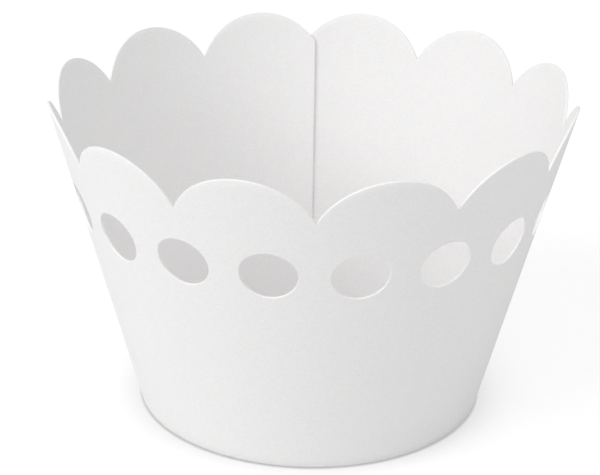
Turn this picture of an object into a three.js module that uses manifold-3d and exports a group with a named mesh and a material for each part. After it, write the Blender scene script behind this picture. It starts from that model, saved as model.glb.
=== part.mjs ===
// Cupcake wrapper: one fan-shaped sheet of white card with a scalloped upper edge and a row of
// oval holes round its front, rolled into a cone that narrows downwards and lapped at a glued
// seam at the back.
// Millimetres, +Z up. The cone's axis is Z, the wrapper stands on z = 0, its front looks along -Y
// and its seam is at +Y.

import * as THREE from 'three';
import { LoftGeometry } from 'three/addons/geometries/LoftGeometry.js';
import { mergeVertices } from 'three/addons/utils/BufferGeometryUtils.js';
import Module from 'manifold-3d';

// Driving dimensions, in mm and degrees.

const baseDiameter = 50; // outside, at the bottom edge
const wallAngle = 14.8; // between the wall and the axis
const cardThickness = 0.35;

const valleySlant = 42.2; // up the wall, from the bottom edge to a valley between two scallops
const scallopCount = 12;
const scallopRise = 6.1; // from the level of the valleys to the top of a scallop
const scallopOverlap = 5; // turn by which the first and last scallops pass each other at the seam

const ovalCount = 8;
const ovalWidth = 7.8;
const ovalHeight = 7.2;
const ovalSlant = 33.6; // up the wall, from the bottom edge to the centre of an oval
const ovalSpacing = 12; // along the row, from one centre to the next

const glueFlap = 5; // plain card past the last scallop, glued behind the first one
const glueThickness = 0.05;
const glueMargin = 0.8; // from the strip of glue to the edges of the lap
const glueGrip = 0.1; // how far the strip of glue is sunk into each layer of card
const lapRise = 9; // run over which the outer end climbs on to the inner end

const columnsPerScallop = 16;
const flapColumns = 6;
const glueColumns = 6;
const ovalSides = 32;
const cutterReach = 1; // how far the hole cutters pass both faces of the card

// The fan. A point of the flat card is given from the fan's centre: across and up, in mm.
// The bottom edge lies at fanRadius from that centre, and the fan turns about it by less than
// the cone turns about its axis, by the sine of the wall's angle.

const slope = THREE.MathUtils.degToRad( wallAngle );
const baseRadius = baseDiameter / 2;
const fanRadius = baseRadius / Math.sin( slope );
const scallopPitch = THREE.MathUtils.degToRad( ( 360 + scallopOverlap ) / scallopCount );
const firstTurn = - scallopPitch * scallopCount / 2;
const lastTurn = - firstTurn;
const innerEndTurn = firstTurn + 2 * Math.PI;
const valleyReach = fanRadius + valleySlant;
const flapTurn = glueFlap / ( valleyReach * Math.sin( slope ) );

// Turn about the axis and distance from the fan's centre, for a point of the flat card.

function rollUp( across, up, centreTurn ) {

	return {
		turn: centreTurn + Math.atan2( across, up ) / Math.sin( slope ),
		reach: Math.hypot( across, up )
	};

}

// The direction square to the wall, away from the axis. Turn 0 is the front.

function outward( turn ) {

	const flat = Math.cos( slope );
	return new THREE.Vector3( flat * Math.sin( turn ), - flat * Math.cos( turn ), - Math.sin( slope ) );

}

// The point on the rolled card at a turn, a reach from the fan's centre and a height off the
// cone's outer face, measured square to the wall.

function onCone( turn, reach, lift ) {

	const radius = reach * Math.sin( slope );
	const height = ( reach - fanRadius ) * Math.cos( slope );
	const face = new THREE.Vector3( radius * Math.sin( turn ), - radius * Math.cos( turn ), height );
	return face.addScaledVector( outward( turn ), lift );

}

// The bottom edge is level, so that the wrapper stands on the whole ring.

function onTable( turn, lift ) {

	const radius = baseRadius + lift / Math.cos( slope );
	return new THREE.Vector3( radius * Math.sin( turn ), - radius * Math.cos( turn ), 0 );

}

// The card's outer end leaves the cone's face shortly before the lap and then lies over the
// inner end, further out by one thickness of card and the glue.

function endLift( turn ) {

	const lapTurn = lapRise / ( baseRadius + valleySlant / 2 * Math.sin( slope ) );
	return ( cardThickness + glueThickness ) * THREE.MathUtils.smoothstep( turn, innerEndTurn - lapTurn, innerEndTurn );

}

// The upper edge. A scallop is an arc of a circle drawn on the flat card through two valleys,
// and it stands scallopRise above their level.

function scallopEdge( index ) {

	const halfFan = scallopPitch * Math.sin( slope ) / 2;
	const halfWidth = valleyReach * Math.sin( halfFan );
	const chordUp = valleyReach * Math.cos( halfFan );
	const topUp = valleyReach + scallopRise;
	const arcRadius = ( halfWidth ** 2 + ( topUp - chordUp ) ** 2 ) / ( 2 * ( topUp - chordUp ) );
	const arcUp = topUp - arcRadius;
	const halfArc = Math.atan2( halfWidth, chordUp - arcUp );
	const centreTurn = firstTurn + ( index + 0.5 ) * scallopPitch;

	const edge = [];

	for ( let i = 0; i <= columnsPerScallop; i ++ ) {

		const angle = halfArc * ( 2 * i / columnsPerScallop - 1 );
		edge.push( rollUp( arcRadius * Math.sin( angle ), arcUp + arcRadius * Math.cos( angle ), centreTurn ) );

	}

	return edge;

}

function cardEdge() {

	const edge = scallopEdge( 0 );

	for ( let index = 1; index < scallopCount; index ++ ) edge.push( ...scallopEdge( index ).slice( 1 ) );

	for ( let i = 1; i <= flapColumns; i ++ ) {

		edge.push( { turn: lastTurn + flapTurn * i / flapColumns, reach: valleyReach } );

	}

	return edge;

}

// The whole card, lofted along its upper edge: at each turn the section is the card's own
// thickness, from the level bottom edge to the cut upper edge.

function cardGeometry() {

	const sections = cardEdge().map( ( { turn, reach } ) => {

		const lift = endLift( turn );
		return [
			onTable( turn, lift ),
			onTable( turn, lift - cardThickness ),
			onCone( turn, reach, lift - cardThickness ),
			onCone( turn, reach, lift )
		];

	} );

	return new LoftGeometry( sections, { capStart: true, capEnd: true } );

}

// The strip of glue in the lap, a little smaller than the lap and sunk into both layers.

function glueGeometry() {

	const sections = [];
	const marginTurn = glueMargin / baseRadius;
	const startTurn = innerEndTurn + marginTurn;
	const glueTurn = lastTurn + flapTurn - marginTurn - startTurn;

	for ( let i = 0; i <= glueColumns; i ++ ) {

		const turn = startTurn + glueTurn * i / glueColumns;
		sections.push( [
			onCone( turn, fanRadius + glueMargin, glueThickness + glueGrip ),
			onCone( turn, fanRadius + glueMargin, - glueGrip ),
			onCone( turn, valleyReach - glueMargin, - glueGrip ),
			onCone( turn, valleyReach - glueMargin, glueThickness + glueGrip )
		] );

	}

	return new LoftGeometry( sections, { capStart: true, capEnd: true } );

}

// A hole cutter: an ellipse drawn on the flat card and rolled up with it, given depth straight
// through the wall.

function ovalCutter( index ) {

	const outline = new THREE.Shape();
	outline.absellipse( 0, 0, ovalWidth / 2, ovalHeight / 2, 0, 2 * Math.PI );
	const depth = 2 * ( cardThickness + cutterReach );
	const geometry = new THREE.ExtrudeGeometry( outline, { depth, bevelEnabled: false, curveSegments: ovalSides / 2 } );
	const alongRow = ( index - ( ovalCount - 1 ) / 2 ) * ovalSpacing;
	const centreTurn = alongRow / ( ( fanRadius + ovalSlant ) * Math.sin( slope ) );
	const through = outward( centreTurn );
	const position = geometry.getAttribute( 'position' );

	for ( let i = 0; i < position.count; i ++ ) {

		const up = fanRadius + ovalSlant + position.getY( i );
		const { turn, reach } = rollUp( position.getX( i ), up, centreTurn );
		const point = onCone( turn, reach, 0 ).addScaledVector( through, position.getZ( i ) - depth / 2 );
		position.setXYZ( i, point.x, point.y, point.z );

	}

	return geometry;

}

// Closed solids for joining and cutting.

const wasm = await Module();
wasm.setup();

function toSolid( geometry ) {

	const bare = new THREE.BufferGeometry();
	bare.setAttribute( 'position', geometry.getAttribute( 'position' ) );
	bare.setIndex( geometry.getIndex() );
	const merged = mergeVertices( bare );
	return new wasm.Manifold( new wasm.Mesh( {
		numProp: 3,
		vertProperties: new Float32Array( merged.getAttribute( 'position' ).array ),
		triVerts: new Uint32Array( merged.getIndex().array )
	} ) );

}

function toGeometry( solid ) {

	const mesh = solid.getMesh();
	const geometry = new THREE.BufferGeometry();
	geometry.setAttribute( 'position', new THREE.BufferAttribute( mesh.vertProperties, 3 ) );
	geometry.setIndex( new THREE.BufferAttribute( mesh.triVerts, 1 ) );
	geometry.computeVertexNormals();
	return geometry;

}

function wrapperGeometry() {

	let wrapper = toSolid( cardGeometry() ).add( toSolid( glueGeometry() ) );

	for ( let index = 0; index < ovalCount; index ++ ) {

		wrapper = wrapper.subtract( toSolid( ovalCutter( index ) ) );

	}

	return toGeometry( wrapper );

}

const whiteCard = new THREE.MeshStandardMaterial( { color: 0xefeeec, roughness: 0.78, metalness: 0 } );

const wrapper = new THREE.Mesh( wrapperGeometry(), whiteCard );
wrapper.name = 'wrapper';

const group = new THREE.Group();
group.add( wrapper );

export default group;
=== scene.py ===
"""Cupcake wrapper of white card, standing on a white table under soft daylight.

Metres, +Z up. The wrapper's axis is Z, its front looks along -Y and its glued seam is at +Y.
"""

import math

import bpy
import numpy as np
from mathutils import Euler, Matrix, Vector


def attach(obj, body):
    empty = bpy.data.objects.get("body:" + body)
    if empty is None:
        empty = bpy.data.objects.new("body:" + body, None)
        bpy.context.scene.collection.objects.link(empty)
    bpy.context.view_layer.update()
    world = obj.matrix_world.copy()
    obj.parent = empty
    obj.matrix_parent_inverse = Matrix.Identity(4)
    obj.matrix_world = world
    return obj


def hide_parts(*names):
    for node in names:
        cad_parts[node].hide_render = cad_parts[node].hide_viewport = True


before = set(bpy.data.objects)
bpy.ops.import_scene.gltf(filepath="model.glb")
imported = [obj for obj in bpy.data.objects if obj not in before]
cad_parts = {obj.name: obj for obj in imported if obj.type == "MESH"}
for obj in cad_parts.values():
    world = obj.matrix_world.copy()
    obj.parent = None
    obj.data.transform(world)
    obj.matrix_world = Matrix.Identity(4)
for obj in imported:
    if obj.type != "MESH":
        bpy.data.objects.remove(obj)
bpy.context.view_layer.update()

scene = bpy.context.scene
scene.view_settings.view_transform = "Standard"

# ---------------------------------------------------------------------------------------------
# The card. One fan-shaped blank die cut from white card of about 300 grams for a square metre,
# with 12 scallops along its upper edge and 8 oval holes round its front. It is rolled into a
# cone, and its plain glue flap is stuck behind the first scallop, at the back.
# ---------------------------------------------------------------------------------------------

base_radius = 0.025
slope = math.radians(14.8)
card_thickness = 0.00035

valley_slant = 0.0422
scallop_count = 12
scallop_rise = 0.0061
scallop_overlap = 5
scallop_pitch = math.radians((360 + scallop_overlap) / scallop_count)

oval_count = 8
oval_width = 0.0078
oval_height = 0.0072
oval_slant = 0.0336
oval_spacing = 0.012

inner_end_trim = math.radians(1.0)
flap_length = 0.005
glue_thickness = 0.00005
lap_rise = 0.014

fan_radius = base_radius / math.sin(slope)
valley_reach = fan_radius + valley_slant
oval_reach = fan_radius + oval_slant
oval_pitch = oval_spacing / (oval_reach * math.sin(slope))
first_turn = -scallop_pitch * scallop_count / 2
last_turn = -first_turn
inner_end_turn = first_turn + 2 * math.pi
flap_turn = flap_length / (valley_reach * math.sin(slope))
lap_turn = lap_rise / (base_radius + valley_slant / 2 * math.sin(slope))

# Rolled card is never quite true. The wall has a slow bow and a faint ripple, which fade out in
# the lowest part of it, and the inner end stands in by a hair.
bow_height = 0.00005
bow_waves = 3
bow_start = 0.7
ripple_height = 0.00003
ripple_waves = 7
ripple_lean = 2.1
fade_share = 0.25
lip_depth = 0.00002
lip_turn = 0.1
level_slant = 0.004

# The blank's grid. Each scallop has the same number of columns, and so has each oval's cell,
# which lies between the slants cell_below and cell_above.
columns_per_scallop = 36
columns_per_cell = 24
flap_columns = 8
cell_below = 0.0289
cell_above = 0.0383
rows_below = 24
rows_in_cell = 12
rows_above = 9
rings_round_oval = 8
ring_crowding = 1.35


def roll_up(across, up, centre_turn):
    """A point of the flat blank, from the fan's centre, as a turn and a reach.

    The reach is its distance from the fan's centre. The turn about the wrapper's axis is its
    angle about the fan's centre divided by the sine of the wall's slope.
    """
    return centre_turn + np.arctan2(across, up) / math.sin(slope), np.hypot(across, up)


def smooth_step(value, start, stop):
    """0 up to start, 1 from stop, and 3 t squared minus 2 t cubed between them."""
    t = np.clip((value - start) / (stop - start), 0, 1)
    return t * t * (3 - 2 * t)


def card_lift(turn, reach):
    """How far the card's outer face stands off the true cone, square to the wall.

    The outer end climbs by one thickness and the glue before the lap. The last 4 mm of the inner
    end stand in by the lip's depth, in full at the level of the valleys and not at all at the
    bottom edge. The bow is a sine of the turn that grows up the wall, the ripple a sine that
    leans as it goes up.
    """
    climb_share = smooth_step(turn, inner_end_turn - lap_turn, inner_end_turn)
    climb = (card_thickness + glue_thickness) * climb_share
    up_the_wall = (reach - fan_radius) / valley_slant
    inner_end_share = 1 - smooth_step(turn, first_turn, first_turn + lip_turn)
    lip = lip_depth * inner_end_share * np.clip(up_the_wall, 0, 1)
    bow = bow_height * np.sin(bow_waves * turn + bow_start) * up_the_wall
    ripple = ripple_height * np.sin(ripple_waves * turn + ripple_lean * up_the_wall)
    return climb - lip + (bow + ripple) * np.clip(up_the_wall / fade_share, 0, 1)


def on_cone(turn, reach):
    """The rolled card's outer face, for whole arrays of turns and reaches.

    The radius is the reach times the sine of the slope and the height is the reach past the
    bottom edge times its cosine. The lift is then added along the wall's own normal. Near the
    bottom edge the reach grows by the lift times the tangent of the slope, so that the lapped
    end stands as level as the rest.
    """
    lift = card_lift(turn, reach)
    level_share = 1 - smooth_step(reach - fan_radius, 0, level_slant)
    reach = reach + lift * math.tan(slope) * level_share
    radius = reach * math.sin(slope) + lift * math.cos(slope)
    height = (reach - fan_radius) * math.cos(slope) - lift * math.sin(slope)
    return np.stack([radius * np.sin(turn), -radius * np.cos(turn), height], axis=-1)


def scallop_edge():
    """Turns and reaches along the 12 scallops, one value for each column.

    Each scallop is an arc of a circle on the flat blank, through two valleys and a top that
    stands above them by the rise, and its points are evenly spaced along the arc. The blank's
    straight inner end cuts the first scallop off a little past its valley: that scallop's points
    move along its arc, the first one by the whole trim and the others by less and less.
    """
    half_fan = scallop_pitch * math.sin(slope) / 2
    half_width = valley_reach * math.sin(half_fan)
    chord_up = valley_reach * math.cos(half_fan)
    sagitta = valley_reach + scallop_rise - chord_up
    arc_radius = (half_width ** 2 + sagitta ** 2) / (2 * sagitta)
    arc_up = valley_reach + scallop_rise - arc_radius
    half_arc = math.atan2(half_width, chord_up - arc_up)
    along = np.arange(scallop_count * columns_per_scallop + 1)
    index = np.minimum(along // columns_per_scallop, scallop_count - 1)
    angle = half_arc * (2 * (along - index * columns_per_scallop) / columns_per_scallop - 1)
    trim_angle = inner_end_trim * math.sin(slope) * valley_reach / arc_radius / math.cos(half_arc)
    first_share = 1 - along[:columns_per_scallop] / columns_per_scallop
    angle[:columns_per_scallop] += trim_angle * first_share
    centre_turn = first_turn + (index + 0.5) * scallop_pitch
    return roll_up(arc_radius * np.sin(angle), arc_up + arc_radius * np.cos(angle), centre_turn)


def blank_grid():
    """Turns and reaches of the blank's grid of columns and rows, ovals not yet cut.

    Up to the top of the oval cells the columns stand at fixed turns, evenly spaced in the cells
    and evenly outside them. Above, they lean from there to their own points of the scalloped
    edge. The flap's columns come last, up to the level of the valleys.
    """
    edge_turn, edge_reach = scallop_edge()
    columns = scallop_count * columns_per_scallop
    half_cells = oval_count * columns_per_cell // 2
    knots = [0, columns // 2 - half_cells, columns // 2 + half_cells, columns]
    turns = [edge_turn[0], -oval_pitch * oval_count / 2, oval_pitch * oval_count / 2, last_turn]
    wall_turn = np.interp(np.arange(columns + 1), knots, turns)
    flap = last_turn + flap_turn * np.arange(1, flap_columns + 1) / flap_columns
    wall_turn = np.append(wall_turn, flap)
    edge_turn = np.append(edge_turn, flap)
    edge_reach = np.append(edge_reach, np.full(flap_columns, valley_reach))

    below = cell_below * np.linspace(0, 1, rows_below + 1)
    inside = np.linspace(cell_below, cell_above, rows_in_cell + 1)[1:]
    slants = np.concatenate([below, inside])
    low_turn = np.repeat(wall_turn[None, :], len(slants), axis=0)
    low_reach = np.repeat(fan_radius + slants[:, None], len(wall_turn), axis=1)
    share = np.linspace(0, 1, rows_above + 1)[1:, None]
    start = fan_radius + cell_above
    high_turn = wall_turn + (edge_turn - wall_turn) * share
    high_reach = start + (edge_reach - start) * share
    return np.vstack([low_turn, high_turn]), np.vstack([low_reach, high_reach])


def grid_quads(rows, columns, first=0):
    """Corner numbers of the quads of a grid whose points are stored row by row."""
    corner = first + np.arange(rows * columns).reshape(rows, columns)
    return np.stack([corner[:-1, :-1], corner[:-1, 1:], corner[1:, 1:], corner[1:, :-1]], axis=-1)


def oval_rings(turn, reach, index):
    """Turns and reaches round one oval, from its rim out to the border of its cell.

    The rim is an ellipse on the flat blank, at even steps of its own angle. Each point goes in
    a straight line to a point of the border, close together near the rim. The cell's first
    column comes third.
    """
    columns_beside = scallop_count * columns_per_scallop - oval_count * columns_per_cell
    left = columns_beside // 2 + index * columns_per_cell
    right = left + columns_per_cell
    low, high = rows_below, rows_below + rows_in_cell
    row = np.concatenate([
        np.arange(low, high), np.full(columns_per_cell, high),
        np.arange(high, low, -1), np.full(columns_per_cell, low)])
    column = np.concatenate([
        np.full(rows_in_cell, right), np.arange(right, left, -1),
        np.full(rows_in_cell, left), np.arange(left, right)])
    count = len(row)
    angle = 2 * math.pi * (np.arange(count) - rows_in_cell / 2) / count
    across = oval_width / 2 * np.cos(angle)
    up = oval_reach + oval_height / 2 * np.sin(angle)
    centre_turn = (index - (oval_count - 1) / 2) * oval_pitch
    rim_turn, rim_reach = roll_up(across, up, centre_turn)
    share = (np.linspace(0, 1, rings_round_oval + 1) ** ring_crowding)[:, None]
    ring_turn = rim_turn + (turn[row, column] - rim_turn) * share
    ring_reach = rim_reach + (reach[row, column] - rim_reach) * share
    return ring_turn, ring_reach, left


turn, reach = blank_grid()
rows, columns = turn.shape
kept = np.ones((rows - 1, columns - 1), dtype=bool)
points = [on_cone(turn, reach).reshape(-1, 3)]
faces = []
point_count = turn.size
for index in range(oval_count):
    ring_turn, ring_reach, left = oval_rings(turn, reach, index)
    kept[rows_below:rows_below + rows_in_cell, left:left + columns_per_cell] = False
    closed_turn = np.hstack([ring_turn, ring_turn[:, :1]])
    closed_reach = np.hstack([ring_reach, ring_reach[:, :1]])
    points.append(on_cone(closed_turn, closed_reach).reshape(-1, 3))
    faces.append(grid_quads(*closed_turn.shape, point_count)[..., ::-1].reshape(-1, 4))
    point_count += closed_turn.size
faces.append(grid_quads(rows, columns)[kept])
points = np.concatenate(points)
faces = np.concatenate(faces)

card_mesh = bpy.data.meshes.new("wrapper_card")
card_mesh.from_pydata(points.tolist(), [], faces.tolist())
card_mesh.update()
wrapper_card = bpy.data.objects.new("wrapper_card", card_mesh)
scene.collection.objects.link(wrapper_card)

# The grid and the rings round the ovals are welded into one sheet, which gets its thickness
# inwards and slightly softened cut edges.
weld_distance = 0.000002
edge_softness = 0.00005
edge_angle = math.radians(50)

weld = wrapper_card.modifiers.new("weld", "WELD")
weld.merge_threshold = weld_distance
thickness = wrapper_card.modifiers.new("thickness", "SOLIDIFY")
thickness.thickness = card_thickness
thickness.offset = -1
thickness.material_offset_rim = 1
softened_edge = wrapper_card.modifiers.new("softened_edge", "BEVEL")
softened_edge.width = edge_softness
softened_edge.segments = 2
softened_edge.limit_method = "ANGLE"
softened_edge.angle_limit = edge_angle

face_white = (0.888, 0.8805, 0.8785)
face_relief = 0.00001
# Painted highlight: the cut edges' white is lighter than the faces', for the light that the thin
# edges catch.
cut_edge_highlight_white = (0.905, 0.898, 0.896)
cut_edge_relief = 0.00002
relief_strength = 0.3
card_roughness = 0.78
card_specular = 0.35

# Three noises in the card's tone. Each has a scale, a share of the full tone that it darkens
# to, and the span of noise over which the tone goes from dark to full.
cloud_scale = 95
cloud_dark = 0.995
cloud_span = (0.3, 0.7)
pulp_scale = 1400
pulp_dark = 0.992
pulp_span = (0.35, 0.6)
fibre_scale = 4800
fibre_dark = 0.925
fibre_span = (0.3, 0.68)


def add_node(tree, kind, inputs=(), **settings):
    """A shader node with its settings, and its inputs by name: a value or another's output."""
    node = tree.nodes.new(kind)
    for key, value in settings.items():
        setattr(node, key, value)
    for key, value in dict(inputs).items():
        if isinstance(value, bpy.types.NodeSocket):
            tree.links.new(value, node.inputs[key])
        else:
            node.inputs[key].default_value = value
    return node


def grey(level):
    """A neutral colour of a level from 0 to 1."""
    return level, level, level, 1


def colour_ramp(tree, factor, span, dark, light):
    """A ramp from a dark colour to a light one, over a span of a factor."""
    node = add_node(tree, "ShaderNodeValToRGB", {"Fac": factor})
    for element, position, colour in zip(node.color_ramp.elements, span, (dark, light)):
        element.position = position
        element.color = colour
    return node.outputs["Color"]


def multiply_colours(tree, first, second):
    """The product of two colours. The Mix node's colour sockets are taken by their numbers."""
    product = add_node(tree, "ShaderNodeMix", data_type="RGBA", blend_type="MULTIPLY")
    product.inputs["Factor"].default_value = 1
    tree.links.new(first, product.inputs[6])
    tree.links.new(second, product.inputs[7])
    return product.outputs[2]


def card_material(name, white, relief_height):
    """Uncoated white card: cloudy tone, fine fibres in its colour, and a soft pulp relief."""
    material = bpy.data.materials.new(name)
    material.use_nodes = True
    tree = material.node_tree
    surface = tree.nodes["Principled BSDF"]
    where = add_node(tree, "ShaderNodeTexCoord").outputs["Object"]
    cloud = add_node(tree, "ShaderNodeTexNoise", {
        "Vector": where, "Scale": cloud_scale,
        "Detail": 3, "Roughness": 0.55}).outputs["Fac"]
    pulp = add_node(tree, "ShaderNodeTexNoise", {
        "Vector": where, "Scale": pulp_scale,
        "Detail": 4, "Roughness": 0.6}).outputs["Fac"]
    fibre = add_node(tree, "ShaderNodeTexNoise", {
        "Vector": where, "Scale": fibre_scale,
        "Detail": 2, "Roughness": 0.5, "Distortion": 0.6}).outputs["Fac"]
    clouded_white = (*[channel * cloud_dark for channel in white], 1)
    clouded = colour_ramp(tree, cloud, cloud_span, clouded_white, (*white, 1))
    speckle = colour_ramp(tree, pulp, pulp_span, grey(pulp_dark), grey(1))
    grain = colour_ramp(tree, fibre, fibre_span, grey(fibre_dark), grey(1))
    mottled = multiply_colours(tree, clouded, speckle)
    tree.links.new(multiply_colours(tree, mottled, grain), surface.inputs["Base Color"])
    relief = add_node(tree, "ShaderNodeMath", {0: pulp, 1: fibre}, operation="ADD").outputs[0]
    bump = add_node(tree, "ShaderNodeBump", {
        "Height": relief, "Strength": relief_strength,
        "Distance": relief_height}).outputs["Normal"]
    tree.links.new(bump, surface.inputs["Normal"])
    surface.inputs["Roughness"].default_value = card_roughness
    surface.inputs["Specular IOR Level"].default_value = card_specular
    return material


# The faces' card, and the cut edges' card, whose lighter white is a painted highlight.
card_mesh.materials.append(card_material("white_card_face", face_white, face_relief))
card_mesh.materials.append(card_material("white_card_cut_edge_highlighted", cut_edge_highlight_white, cut_edge_relief))
card_mesh.shade_smooth()

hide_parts("wrapper")
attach(wrapper_card, "root")

# ---------------------------------------------------------------------------------------------
# The table. A plain white sheet a hair below the wrapper's edge, as card never touches all
# round. To the camera it glows to the white of the background, and that glow is darkened by
# occlusion where the wall stands close over it: a painted soft shadow and a painted thin dark
# line. To the camera, the lamps and the room reach it only through a faint matte part.
# ---------------------------------------------------------------------------------------------

table_half = 1.5
table_gap = 0.00024
table_steps = 25
table_matte = 0.8
table_faint = 0.36

shadow_reach = 0.05
shadow_gain = 1.72
glow_strength = 0.7
shade_line_reach = 0.0005
shade_line_power = 1.6
occlusion_samples = 16

side = np.linspace(-table_half, table_half, table_steps)
table_x, table_y = np.meshgrid(side, side)
table_z = np.full_like(table_x, -table_gap)
table_points = np.stack([table_x, table_y, table_z], axis=-1).reshape(-1, 3)
table_faces = grid_quads(table_steps, table_steps).reshape(-1, 4)
table_mesh = bpy.data.meshes.new("table")
table_mesh.from_pydata(table_points.tolist(), [], table_faces.tolist())
table = bpy.data.objects.new("table", table_mesh)
scene.collection.objects.link(table)

table_white_painted_shade = bpy.data.materials.new("table_white_painted_shade")
table_white_painted_shade.use_nodes = True
tree = table_white_painted_shade.node_tree
tree.nodes.clear()
output = tree.nodes.new("ShaderNodeOutputMaterial")
matte = add_node(tree, "ShaderNodeBsdfDiffuse", {"Color": grey(table_matte)})
faint = add_node(tree, "ShaderNodeBsdfDiffuse", {"Color": grey(table_faint)})
# Painted shade: the camera's glow is dimmed by occlusion, softly out to the shadow reach and as a
# thin dark line out to the line reach.
open_sky = add_node(
    tree, "ShaderNodeAmbientOcclusion", {"Distance": shadow_reach}, samples=occlusion_samples)
touching = add_node(
    tree, "ShaderNodeAmbientOcclusion", {"Distance": shade_line_reach}, samples=occlusion_samples)
painted_edge_line = add_node(
    tree, "ShaderNodeMath", {0: touching.outputs["AO"], 1: shade_line_power}, operation="POWER")
painted_shadow_level = add_node(
    tree, "ShaderNodeMath", {0: open_sky.outputs["AO"], 1: shadow_gain},
    operation="MULTIPLY", use_clamp=True)
glow_level = add_node(
    tree, "ShaderNodeMath", {0: painted_shadow_level.outputs[0], 1: glow_strength}, operation="MULTIPLY")
glow_with_painted_shade = add_node(
    tree, "ShaderNodeMath", {0: glow_level.outputs[0], 1: painted_edge_line.outputs[0]},
    operation="MULTIPLY")
glow = add_node(
    tree, "ShaderNodeEmission", {"Color": grey(1), "Strength": glow_with_painted_shade.outputs[0]})
lit = add_node(tree, "ShaderNodeAddShader", {0: faint.outputs[0], 1: glow.outputs[0]})
path = tree.nodes.new("ShaderNodeLightPath")
to_eye = add_node(tree, "ShaderNodeMixShader", {
    0: path.outputs["Is Camera Ray"], 1: matte.outputs[0], 2: lit.outputs[0]})
tree.links.new(to_eye.outputs[0], output.inputs["Surface"])
table_mesh.materials.append(table_white_painted_shade)

# ---------------------------------------------------------------------------------------------
# The light. A wide soft lamp high at the front left, a weak one at the right, and an even
# white room, which the camera, gloss and glass see as plain white.
# ---------------------------------------------------------------------------------------------

lamp_target = Vector((0, 0, 0.02))
room_strength = 0.582


def soft_lamp(name, place, size, watts):
    """A square area lamp at a place, turned to face the wrapper."""
    lamp = bpy.data.lights.new(name, "AREA")
    lamp.shape = "SQUARE"
    lamp.size = size
    lamp.energy = watts
    holder = bpy.data.objects.new(name, lamp)
    holder.location = place
    holder.rotation_euler = (lamp_target - Vector(place)).to_track_quat("-Z", "Y").to_euler()
    scene.collection.objects.link(holder)


soft_lamp("key_lamp", (-0.8, -0.51, 0.74), size=0.8, watts=7.55)
soft_lamp("fill_lamp", (0.6, -0.45, 0.8), size=0.7, watts=2.4)

world = bpy.data.worlds.new("white_room")
scene.world = world
world.use_nodes = True
tree = world.node_tree
tree.nodes.clear()
output = tree.nodes.new("ShaderNodeOutputWorld")
path = tree.nodes.new("ShaderNodeLightPath")
to_glass = add_node(
    tree, "ShaderNodeMath",
    {0: path.outputs["Is Glossy Ray"], 1: path.outputs["Is Transmission Ray"]},
    operation="MAXIMUM")
seen = add_node(
    tree, "ShaderNodeMath", {0: path.outputs["Is Camera Ray"], 1: to_glass.outputs[0]},
    operation="MAXIMUM")
room = add_node(tree, "ShaderNodeBackground", {"Color": grey(1), "Strength": room_strength})
white = add_node(tree, "ShaderNodeBackground", {"Color": grey(1), "Strength": 1})
mix = add_node(tree, "ShaderNodeMixShader", {
    0: seen.outputs[0], 1: room.outputs[0], 2: white.outputs[0]})
tree.links.new(mix.outputs[0], output.inputs["Surface"])

# ---------------------------------------------------------------------------------------------
# The camera. It looks down at the wrapper's front from 23 degrees above, turned by less than a
# degree, and the picture is taken as 600 by 475.
# ---------------------------------------------------------------------------------------------

elevation = math.radians(23.251)
camera_turn = math.radians(-0.65)
camera_roll = math.radians(0.8)
camera_distance = 0.275852
aside = -0.001199
aim_height = 0.023711
picture_width = 600
focal_pixels = 1899.45
shift_pixels = -3
sensor_width = 36
nearest_seen = 0.01

camera_data = bpy.data.cameras.new("camera")
camera_data.sensor_fit = "HORIZONTAL"
camera_data.sensor_width = sensor_width
camera_data.lens = focal_pixels / picture_width * sensor_width
camera_data.shift_x = shift_pixels / picture_width
camera_data.clip_start = nearest_seen
camera = bpy.data.objects.new("camera", camera_data)
scene.collection.objects.link(camera)
place = Vector((
    aside,
    -camera_distance * math.cos(elevation),
    aim_height + camera_distance * math.sin(elevation)))
turned = Euler((0, 0, camera_turn)).to_matrix()
camera.location = turned @ place
camera.rotation_euler = (
    turned @ Euler((math.pi / 2 - elevation, 0, 0)).to_matrix()
    @ Euler((0, 0, camera_roll)).to_matrix()).to_euler()
scene.camera = camera
